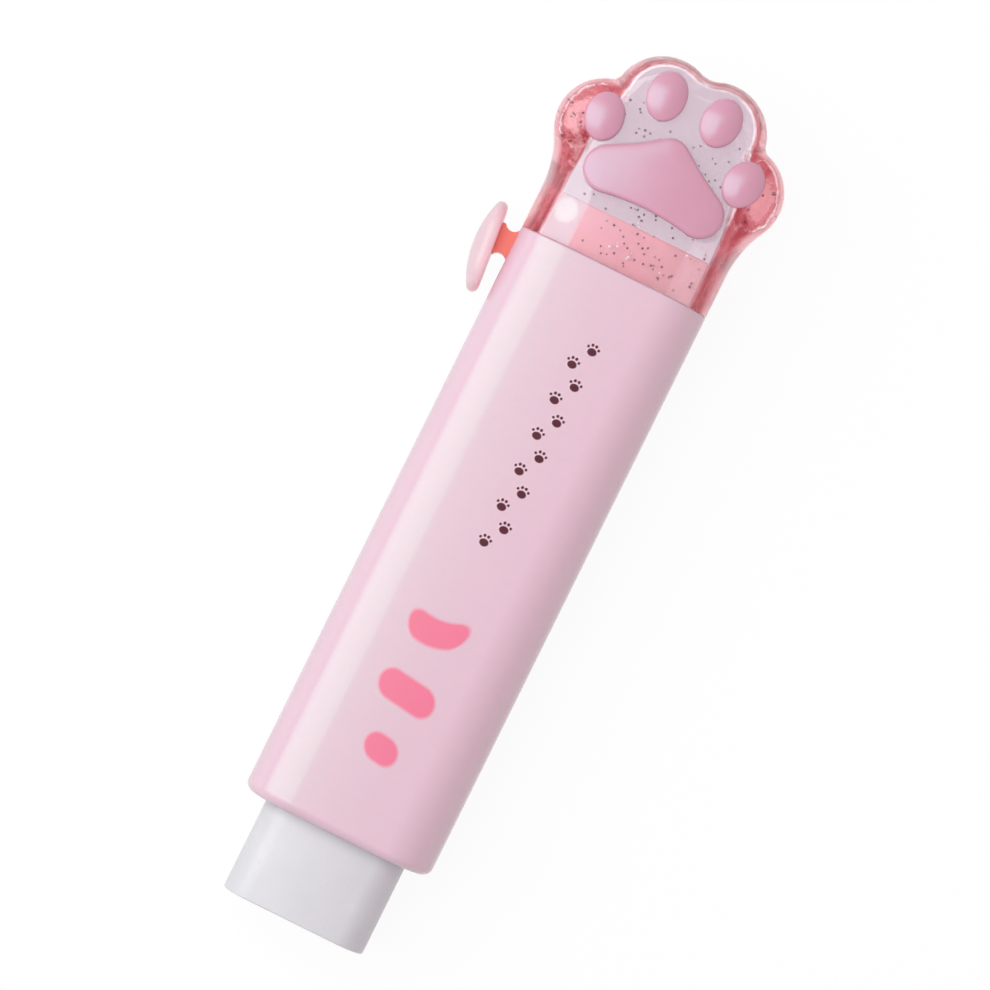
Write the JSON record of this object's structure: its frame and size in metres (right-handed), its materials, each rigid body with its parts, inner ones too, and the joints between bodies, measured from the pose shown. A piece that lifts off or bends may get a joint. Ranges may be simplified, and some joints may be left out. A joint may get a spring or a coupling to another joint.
{
  "type": "novelty eraser",
  "caption": "Stick eraser in a flat moulded sleeve with a side thumb slider that feeds the rubber out, and a clear cat-paw cap that pulls off.",
  "frame": {"origin": "middle of the sleeve's flat back, which is the face that the object lies on", "axes": "+Y along the stick from the rubber to the paw, +Z out of the front with the pads, +X away from the thumb slider"},
  "size_m": [0.0307, 0.1103, 0.0167],
  "materials": {
    "pink_shell": "glossy",
    "pink_slider": "glossy",
    "white_rubber": "matte",
    "salmon_plastic": "glossy",
    "salmon_plug": "glossy",
    "clear_plastic": "clear, glossy",
    "pad_pink": "satin"
  },
  "bodies": {
    "holder": {"sleeve": "pink_shell"},
    "feed": {"eraser": "white_rubber", "carriage": "salmon_plastic", "slider_cap": "pink_slider"},
    "cap": {"paw_shell": "clear_plastic", "paw_plug": "salmon_plug", "toe_pad_1": "pad_pink", "toe_pad_2": "pad_pink", "toe_pad_3": "pad_pink", "toe_pad_4": "pad_pink", "palm_pad": "pad_pink"}
  },
  "joints": [
    {"name": "feed_slide", "type": "slide", "parent": "holder", "child": "feed", "axis": [0, -1, 0], "range_m": [0, 0.052]},
    {"name": "cap_pull", "type": "slide", "parent": "holder", "child": "cap", "axis": [0, 1, 0], "range_m": [0, 0.03]}
  ]
}
